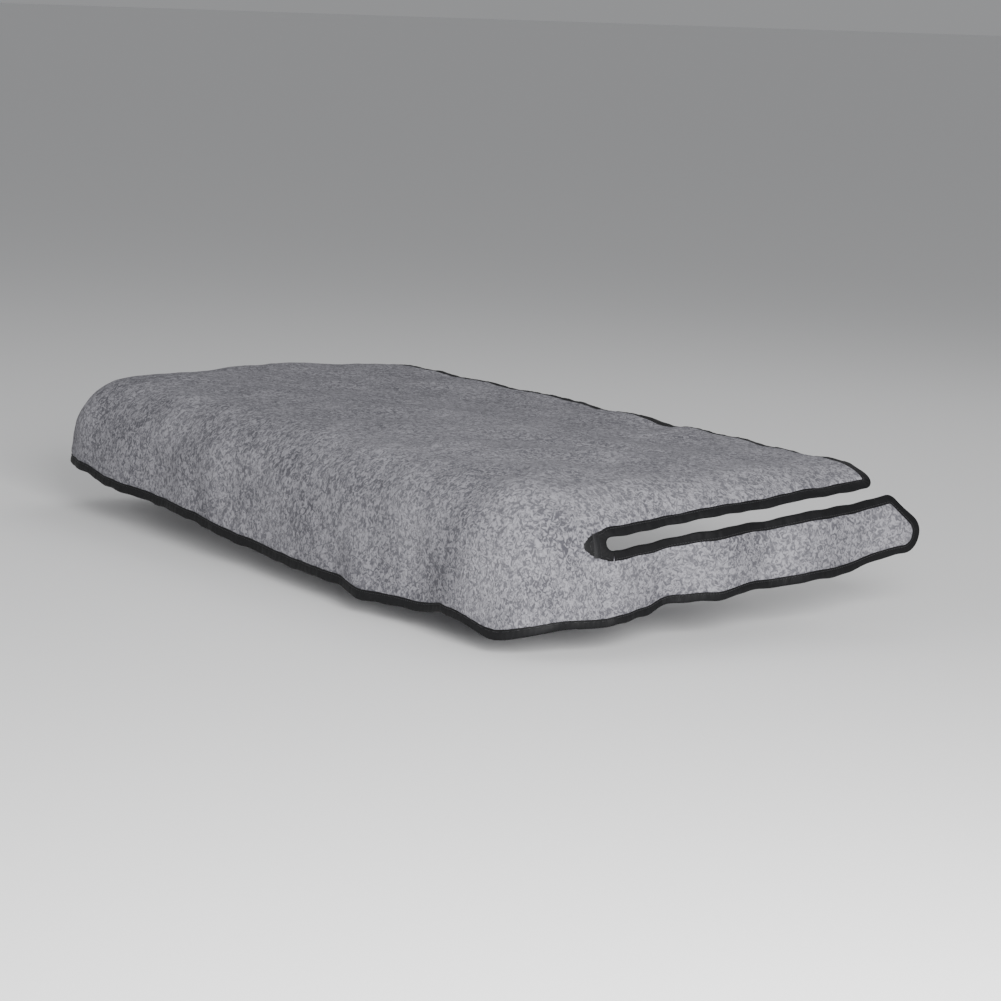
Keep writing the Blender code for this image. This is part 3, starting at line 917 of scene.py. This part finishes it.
@dataclass(frozen=True)
class CareLabel:
    """A blank woven label, its lower edge caught under the hem tape inside the left flap."""

    drape: Drape
    route: Route
    place: float = 0.16
    width: float = 0.045
    height: float = 0.024
    thickness: float = 0.0004
    lift: float = 0.0005
    caught_at: float = 0.010
    curl: float = 0.0016
    columns: int = 19
    rows: int = 11

    def build(self) -> bpy.types.Object:
        """The label."""
        across, up = np.meshgrid(np.linspace(0, 1, self.columns), np.linspace(0, 1, self.rows))
        run = self.drape.run_at(self.drape.slit_y + self.place) + across.ravel() * self.width
        hem = self.drape.hem_at(-run)
        down = hem - self.caught_at - up.ravel() * self.height
        spots = self.route.chart(run, down)
        curl = self.curl * up.ravel() ** 2 * (0.6 + 0.4 * np.cos(across.ravel() * 2 * pi))
        near = -self.lift - curl
        points = np.vstack([self.drape.place(spots, near), self.drape.place(spots, near - self.thickness)])
        index = np.arange(across.size).reshape(across.shape)
        faces = two_faced(grid_faces(index), across.size).tolist()
        places = np.vstack([np.column_stack([across.ravel() * self.width, up.ravel() * self.height])] * 2)
        return solid("woven_label", points, faces, places)


@dataclass(frozen=True)
class BarTack:
    """Close zigzag stitches across the tape in front of a slit."""

    setback: float = 0.0065
    half_length: float = 0.013
    half_width: float = 0.0016
    half_lean: float = 0.0003
    lift: float = 0.0001
    stitches: int = 30

    def ends(self, run: float, down: float) -> tuple[Array, Array]:
        """Where each stitch goes in and comes out, with the tack's middle at this run and down."""
        downs = down + np.linspace(-self.half_length, self.half_length, self.stitches)
        starts = np.column_stack([np.full(len(downs), run - self.half_width), downs - self.half_lean])
        ends = np.column_stack([np.full(len(downs), run + self.half_width), downs + self.half_lean])
        return starts, ends


class Nodes:
    """Short ways to add nodes to a tree and join them."""

    def __init__(self, tree: bpy.types.NodeTree) -> None:
        """Keeps the tree."""
        self.tree = tree

    def add(self, kind: str, inputs: dict | None = None, **settings: object) -> bpy.types.Node:
        """A node with its settings, and with inputs that are values or other nodes' outputs."""
        node = self.tree.nodes.new(kind)
        for name, value in settings.items():
            setattr(node, name, value)
        for name, value in (inputs or {}).items():
            self.join(node.inputs[name], value)
        return node

    def join(self, socket: bpy.types.NodeSocket, value: object) -> None:
        """Sets a socket, or links another node's output to it."""
        if isinstance(value, bpy.types.NodeSocket):
            self.tree.links.new(value, socket)
        else:
            socket.default_value = value

    def math(self, operation: str, first: object, second: object = 0.0) -> bpy.types.NodeSocket:
        """One arithmetic step."""
        return self.add("ShaderNodeMath", {0: first, 1: second}, operation=operation).outputs[0]

    def noise(self, **inputs: object) -> bpy.types.NodeSocket:
        """Soft noise from 0 to 1."""
        return self.add("ShaderNodeTexNoise", inputs).outputs["Fac"]

    def spread(self, value: object, **limits: float) -> bpy.types.NodeSocket:
        """A value moved to other limits. `From_Min` and the like stand for the sockets' names."""
        limits = {name.replace("_", " "): limit for name, limit in limits.items()}
        return self.add("ShaderNodeMapRange", {"Value": value, **limits}).outputs["Result"]

    def mix(self, share: object, first: object, second: object) -> bpy.types.NodeSocket:
        """A mix of two colours."""
        node = self.add("ShaderNodeMix", {"Factor": share}, data_type="RGBA")
        self.join(node.inputs[6], first)
        self.join(node.inputs[7], second)
        return node.outputs[2]


class Effects:
    """The node groups that several finishes share."""

    def __init__(self) -> None:
        """Builds each group once."""
        self.nap = self._group("looped_nap", {"Loops": 330.0, "Blotches": 20.0}, self._nap)
        self.ribs = self._group("woven_ribs", {"Ribs": 900.0, "Wear": 60.0}, self._ribs)

    @staticmethod
    def _group(name: str, sizes: dict[str, float], fill: Callable) -> bpy.types.NodeTree:
        """A group with a place and sizes going in, and a height and a shade coming out."""
        tree = bpy.data.node_groups.new(name, "ShaderNodeTree")
        tree.interface.new_socket("Place", in_out="INPUT", socket_type="NodeSocketVector")
        for label, value in sizes.items():
            socket = tree.interface.new_socket(label, in_out="INPUT", socket_type="NodeSocketFloat")
            socket.default_value = value
        tree.interface.new_socket("Height", in_out="OUTPUT", socket_type="NodeSocketFloat")
        tree.interface.new_socket("Shade", in_out="OUTPUT", socket_type="NodeSocketFloat")
        nodes = Nodes(tree)
        entry = nodes.add("NodeGroupInput")
        height, shade = fill(nodes, entry.outputs)
        nodes.add("NodeGroupOutput", {"Height": height, "Shade": shade})
        return tree

    @staticmethod
    def _nap(nodes: Nodes, entry: bpy.types.bpy_prop_collection) -> tuple:
        """Crowded loops of yarn, lying over in small curls whose colour is the terry's own mottle and
        painted shade in the hollows between loops, with wider patches of painted shade that stand for folds
        and the nap's lie.
        """
        place, loops, blotches = entry["Place"], entry["Loops"], entry["Blotches"]
        curls = nodes.noise(Vector=place, Scale=loops, Detail=2.5, Roughness=0.6, Distortion=1.4)
        heads_to_loops = 2.3
        fine = nodes.math("MULTIPLY", loops, heads_to_loops)
        heads = nodes.add(
            "ShaderNodeTexVoronoi",
            {"Vector": place, "Scale": fine, "Smoothness": 0.6},
            feature="SMOOTH_F1",
        ).outputs["Distance"]
        patches = nodes.noise(Vector=place, Scale=blotches, Detail=2.0, Roughness=0.5)
        rounded = nodes.math("SUBTRACT", 1.0, heads)
        height = nodes.math("ADD", nodes.math("MULTIPLY", curls, 0.7), nodes.math("MULTIPLY", rounded, 0.3))
        # Colour from the curls: the terry's own mottle, and painted shade where the nap's relief is low, in
        # the hollows between loops.
        hollow_shade_and_mottle = nodes.spread(curls, From_Min=0.41, From_Max=0.60)
        # Painted shade: wide darker and lighter patches that stand for the shading of folds and of the
        # nap's lie.
        painted_fold_shade = nodes.spread(patches, From_Min=0.30, From_Max=0.70)
        shade = nodes.math("MULTIPLY", hollow_shade_and_mottle, 0.74)
        shade = nodes.math("ADD", shade, nodes.math("MULTIPLY", painted_fold_shade, 0.26))
        return height, shade

    @staticmethod
    def _ribs(nodes: Nodes, entry: bpy.types.bpy_prop_collection) -> tuple:
        """Fine ribs across a woven tape, a little uneven, with duller places where it is rubbed."""
        place, ribs, wear = entry["Place"], entry["Ribs"], entry["Wear"]
        wave = nodes.add(
            "ShaderNodeTexWave",
            {"Vector": place, "Scale": ribs, "Distortion": 0.6, "Detail": 1.0, "Detail Scale": 0.4},
            bands_direction="X",
        ).outputs["Fac"]
        rubbed = nodes.noise(Vector=place, Scale=wear, Detail=4.0, Roughness=0.6)
        height = nodes.math("ADD", nodes.math("MULTIPLY", wave, 0.7), nodes.math("MULTIPLY", rubbed, 0.3))
        return height, rubbed


Colour = tuple[float, float, float, float]


@dataclass(frozen=True)
class ClothFinish:
    """A cloth's finish: its two tones, its roughness, sheen and shine, and the relief of its surface."""

    name: str
    dark: Colour
    light: Colour
    roughness: tuple[float, float]
    sheen: float
    shine: float
    relief: float
    depth: float
    sizes: dict[str, float] = field(default_factory=dict)
    sheen_tint: Colour = (0.9, 0.9, 1.0, 1.0)

    def material(self, effect: bpy.types.NodeTree) -> bpy.types.Material:
        """The material, with its tone, roughness and relief from one shared effect.

        Args:
            effect: The node group that gives the height and shade of the surface.

        Returns:
            The new material.
        """
        made = bpy.data.materials.new(self.name)
        made.use_nodes = True
        nodes = Nodes(made.node_tree)
        shader = made.node_tree.nodes["Principled BSDF"]
        place = nodes.add("ShaderNodeUVMap", uv_map=CLOTH_MAP).outputs["UV"]
        pattern = nodes.add("ShaderNodeGroup", node_tree=effect)
        for label, value in {"Place": place, **self.sizes}.items():
            nodes.join(pattern.inputs[label], value)
        shade = pattern.outputs["Shade"]
        nodes.join(shader.inputs["Base Color"], nodes.mix(shade, self.dark, self.light))
        rough = nodes.spread(shade, To_Min=self.roughness[0], To_Max=self.roughness[1])
        nodes.join(shader.inputs["Roughness"], rough)
        bump = nodes.add(
            "ShaderNodeBump",
            {"Height": pattern.outputs["Height"], "Strength": self.relief, "Distance": self.depth},
        )
        nodes.join(shader.inputs["Normal"], bump.outputs["Normal"])
        shader.inputs["Sheen Weight"].default_value = self.sheen
        shader.inputs["Sheen Roughness"].default_value = 0.5
        shader.inputs["Sheen Tint"].default_value = self.sheen_tint
        shader.inputs["Specular IOR Level"].default_value = self.shine
        return made


class Finish(Enum):
    """The towel's finishes."""

    # The terry's two tones are mixed by the nap's shade: its own mottle, and painted shade in the loops'
    # hollows and in wide patches that stand for folds.
    TERRY = ClothFinish(
        "grey_terry_cloth",
        (0.062, 0.061, 0.071, 1),
        (0.276, 0.271, 0.294, 1),
        (0.98, 0.88),
        sheen=0.06,
        shine=0.20,
        relief=1.0,
        depth=0.0026,
        sizes={"Loops": 170.0, "Blotches": 11.0},
    )
    TAPE = ClothFinish(
        "black_binding_tape",
        (0.0030, 0.0030, 0.0034, 1),
        (0.0075, 0.0075, 0.0084, 1),
        (0.50, 0.70),
        sheen=0.0,
        shine=0.16,
        relief=0.35,
        depth=0.0004,
        sizes={"Ribs": 160.0, "Wear": 90.0},
    )
    THREAD = ClothFinish(
        "black_sewing_thread",
        (0.008, 0.008, 0.009, 1),
        (0.020, 0.020, 0.022, 1),
        (0.38, 0.55),
        sheen=0.0,
        shine=0.30,
        relief=0.4,
        depth=0.0001,
        sizes={"Ribs": 420.0, "Wear": 300.0},
    )
    LABEL = ClothFinish(
        "white_woven_label",
        (0.62, 0.62, 0.60, 1),
        (0.80, 0.80, 0.78, 1),
        (0.45, 0.65),
        sheen=0.1,
        shine=0.35,
        relief=0.3,
        depth=0.0002,
        sizes={"Ribs": 300.0, "Wear": 120.0},
    )


@dataclass
class Towel:
    """The whole towel, laid over the seat.

    `front_bend` and `flap_bend` are the lengths over which the front and an end flap would leave the
    seat; they are not used. `corner_share` is the part of a flat quarter ring of cloth that each front
    corner keeps: the drape has no gathered folds there to take up the rest.
    """

    drape: Drape
    thickness: float
    effects: Effects = field(default_factory=Effects)
    tack: BarTack = BarTack()
    front_bend: float = 0.075
    flap_bend: float = 0.12
    corner_share: float = 0.7
    slit_end_steps: int = 25
    hem_steps: int = 400
    terry: Terry = field(init=False)
    tape: Tape = field(init=False)
    thread: Thread = field(init=False)
    sheet: SeatSheet = field(init=False)
    flaps: dict[Side, EndFlap] = field(init=False)
    materials: dict[Finish, bpy.types.Material] = field(init=False)

    def __post_init__(self) -> None:
        """Sets up the cloth, the tape and the thread that every piece uses."""
        self.terry = Terry(self.drape, self.thickness)
        self.tape = Tape(self.drape, self.thickness / 2)
        self.thread = Thread(self.drape, self.thickness / 2)
        self.sheet = SeatSheet(self.drape)
        self.flaps = {side: EndFlap(side, self.drape, self.sheet) for side in Side}
        ribs, nap = self.effects.ribs, self.effects.nap
        kinds = {Finish.TERRY: nap, Finish.TAPE: ribs, Finish.THREAD: ribs, Finish.LABEL: ribs}
        self.materials = {kind: kind.value.material(effect) for kind, effect in kinds.items()}

    def dress(self, piece: bpy.types.Object, kind: Finish) -> bpy.types.Object:
        """Gives a piece its finish."""
        piece.data.materials.append(self.materials[kind])
        log.info("%s: %d faces", piece.name, len(piece.data.polygons))
        return piece

    def bend(self, piece: bpy.types.Object) -> None:
        """Bakes a piece's transform into its mesh."""
        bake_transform(piece)

    def cloth(self) -> list[bpy.types.Object]:
        """The three pieces of terry, with their normals made one across the seams."""
        layers = {None: self.sheet.layer()}
        layers |= {side: self.flaps[side].layer() for side in Side}
        normals = {key: vertex_normals(*self.terry.faces_of(layer)) for key, layer in layers.items()}
        for side in Side:
            count, flap_count = len(layers[None].to_edge), len(layers[side].to_edge)
            here = np.concatenate([self.sheet.seams[side], self.sheet.seams[side] + count])
            there = np.concatenate([self.flaps[side].seam, self.flaps[side].seam + flap_count])
            total = normals[None][here] + normals[side][there]
            normals[None][here] = normals[side][there] = total
        made = []
        for side, layer in layers.items():
            name = "terry_sheet" if side is None else f"terry_flap_{side.label}"
            lengths = np.linalg.norm(normals[side], axis=1, keepdims=True)
            units = normals[side] / np.maximum(lengths, 1e-12)
            piece = self.dress(self.terry.build(name, layer, units), Finish.TERRY)
            self.bend(piece)
            made.append(piece)
        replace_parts(made[0], "seat_panel", "front_drop", "front_corner_left", "front_corner_right")
        for side, piece in zip(Side, made[1:]):
            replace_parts(piece, f"end_flap_{side.label}")
        return made

    def seat_route(self) -> Route:
        """The edge from round one slit's front end, along the rear, to round the other's."""
        drape = self.drape
        rear_x = drape.half_width + drape.slit_down_rear - drape.half_opening
        front_x = drape.half_width + drape.slit_down_front
        turns = np.linspace(0, -pi, self.slit_end_steps)
        reach = drape.half_opening
        end = [(front_x + reach * cos(a), drape.slit_y + reach * sin(a)) for a in turns]
        corner = (rear_x, drape.rear_y)
        right = end + fillet(end[-1], corner, (0, drape.rear_y), self.sheet.rear_corner)
        left = [(-x, y) for x, y in reversed(right)]
        return Route(np.array(right + left), drape.on_ends)

    def hem_route(self) -> Route:
        """The hem from one slit's front end, round the front, to the other's."""
        end = float(self.drape.run_at(self.drape.slit_y))
        runs = np.linspace(end, -end, self.hem_steps)
        return Route(np.column_stack([runs, self.drape.hem_at(runs)]), self.drape.on_skirt)

    def bound_edge(
        self, name: str, route: Route, nodes: list[str], bends: bool
    ) -> list[bpy.types.Object]:
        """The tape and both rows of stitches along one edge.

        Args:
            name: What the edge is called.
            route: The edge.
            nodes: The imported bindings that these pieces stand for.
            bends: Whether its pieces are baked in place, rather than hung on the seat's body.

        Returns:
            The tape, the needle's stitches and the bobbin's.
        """
        tape = self.dress(self.tape.build(f"{name}_tape", route), Finish.TAPE)
        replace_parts(tape, *(f"{node}_binding" for node in nodes))
        made = [tape]
        for kind, face in (("needle", Face.OUTER), ("bobbin", Face.INNER)):
            base = self.tape.middle + face.value * (self.tape.half - self.tape.groove_depth)
            shift = 0 if face is Face.OUTER else self.thread.pitch / 2
            row = self.thread.seam(f"{name}_{kind}_stitches", route, self.tape.seam, base, shift)
            self.dress(row, Finish.THREAD)
            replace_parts(row, *(f"{node}_{kind}_thread" for node in nodes))
            made.append(row)
        for piece in made:
            if bends:
                self.bend(piece)
            else:
                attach(piece, "seat")
        return made

    def bar_tack(self, side: Side) -> bpy.types.Object:
        """The bar tack in front of one slit."""
        drape = self.drape
        run = float(drape.run_at(drape.slit_y - drape.half_opening - self.tack.setback))
        starts, ends = self.tack.ends(run, drape.slit_down_front)
        base = self.tape.middle + self.tape.half + self.tack.lift
        flap = self.flaps[side]
        row = self.thread.build(f"bar_tack_{side.label}_stitches", flap.chart, starts, ends, base)
        self.dress(row, Finish.THREAD)
        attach(row, "seat")
        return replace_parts(row, f"bar_tack_{side.label}")

    def build(self) -> None:
        """Makes and dresses every piece, and works out what each sheet was cut to."""
        sheet, *flaps = self.cloth()
        slits = [f"slit_{side.label}" for side in Side]
        corners = [f"corner_{side.label}" for side in Side]
        seat_edge = self.bound_edge("seat_edge", self.seat_route(), ["rear", *slits], False)
        hem = self.bound_edge("front_hem", self.hem_route(), ["front", *corners], True)
        tacks = [self.bar_tack(side) for side in Side]
        for side, flap in zip(Side, flaps):
            route = self.flaps[side].route()
            edge = self.bound_edge(f"flap_{side.label}", route, [f"flap_{side.label}"], True)
            if side is Side.LEFT:
                label = CareLabel(self.drape, route).build()
                self.dress(label, Finish.LABEL)
                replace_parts(label, "care_label")
                self.bend(label)
                edge.append(label)
            area = self.flaps[side].flat_area()
            width, height = self.flat_box(self.flaps[side])
        drape = self.drape
        hem_length = float(drape.hem_at(drape.front_run))
        self.seat_area()

    @staticmethod
    def flat_box(flap: EndFlap) -> Flat:
        """The width and height of the piece that a flap is cut from."""
        low, high = np.ptp(np.array(flap.outline(flap.sheet.seam_y)[0]), axis=0)
        return float(low), float(high)

    def seat_area(self) -> float:
        """The flat area of the terry over the seat, with its skirt and the rolls above the slits."""
        drape = self.drape
        depth = drape.rear_y - drape.front_y
        hem = float(np.mean(drape.hem_at(np.array([-drape.front_run, drape.front_run]))))
        front = 2 * drape.front_run * hem
        corners = pi / 2 * hem * (2 * drape.corner_radius + hem)
        ends = (depth - drape.corner_radius) * (drape.slit_down_front + drape.slit_down_rear)
        return 2 * drape.half_width * depth + front + corners * self.corner_share + ends


@dataclass(frozen=True)
class Studio:
    """A pale floor, soft lights and the camera."""

    camera_place: tuple[float, float, float] = (3.1737, -2.1688, 0.5392)
    aim: tuple[float, float, float] = (0.230, -0.097, -0.060)
    roll: float = radians(2.27)
    lens: float = 110.2
    sensor: float = 36.0
    floor_gap: float = 0.020
    floor_size: float = 60.0
    light_aim: tuple[float, float, float] = (0.1, -0.05, -0.05)
    lights: tuple[tuple[str, tuple[float, float, float], float, float], ...] = (
        ("key", (2.7, -1.1, 0.80), 1.2, 134),
        ("fill", (-1.2, -3.0, 1.0), 2.2, 30),
        ("top", (-0.5, 1.4, 2.0), 1.6, 12),
    )
    sky: tuple[float, float, float, float] = (0.92, 0.93, 0.95, 1)
    sky_strength: float = 0.34

    def floor(self) -> None:
        """A wide level floor just under the hem."""
        z = CAD_BOX[0].z - self.floor_gap
        mesh = bpy.data.meshes.new("floor")
        size = self.floor_size
        corners = [(-size, -size, z), (size, -size, z), (size, size, z), (-size, size, z)]
        mesh.from_pydata(corners, [], [(0, 1, 2, 3)])
        made = bpy.data.objects.new("floor", mesh)
        bpy.context.collection.objects.link(made)
        material = bpy.data.materials.new("pale_floor")
        material.use_nodes = True
        shader = material.node_tree.nodes["Principled BSDF"]
        shader.inputs["Base Color"].default_value = (0.88, 0.88, 0.88, 1)
        shader.inputs["Roughness"].default_value = 0.9
        mesh.materials.append(material)

    def light(self, name: str, place: tuple[float, float, float], size: float, power: float) -> None:
        """One soft square light that faces the towel."""
        data = bpy.data.lights.new(name, "AREA")
        data.size = size
        data.energy = power
        made = bpy.data.objects.new(name, data)
        made.location = place
        look = (Vector(self.light_aim) - Vector(place)).to_track_quat("-Z", "Y")
        made.rotation_euler = look.to_euler()
        bpy.context.collection.objects.link(made)

    def camera(self) -> None:
        """The camera, tilted a little to its left."""
        data = bpy.data.cameras.new("camera")
        data.lens = self.lens
        data.sensor_width = self.sensor
        made = bpy.data.objects.new("camera", data)
        made.location = self.camera_place
        look = (Vector(self.aim) - Vector(self.camera_place)).to_track_quat("-Z", "Y")
        made.rotation_mode = "QUATERNION"
        made.rotation_quaternion = look @ Quaternion((0, 0, 1), self.roll)
        bpy.context.collection.objects.link(made)
        bpy.context.scene.camera = made

    def build(self) -> None:
        """Sets up the whole studio."""
        self.floor()
        for light in self.lights:
            self.light(*light)
        self.camera()
        world = bpy.data.worlds.new("studio")
        world.use_nodes = True
        backdrop = world.node_tree.nodes["Background"]
        backdrop.inputs["Color"].default_value = self.sky
        backdrop.inputs["Strength"].default_value = self.sky_strength
        bpy.context.scene.world = world


def main() -> None:
    """Builds the towel and the studio."""
    logging.basicConfig(level=logging.INFO, format="%(name)s: %(message)s")
    seat_low, seat_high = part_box("seat_panel")
    drape = Drape(front_y=float(seat_low.y), rear_y=float(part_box("rear_binding")[1].y))
    Towel(drape, thickness=float(seat_high.z)).build()
    Studio().build()


if __name__ == "__main__":
    main()
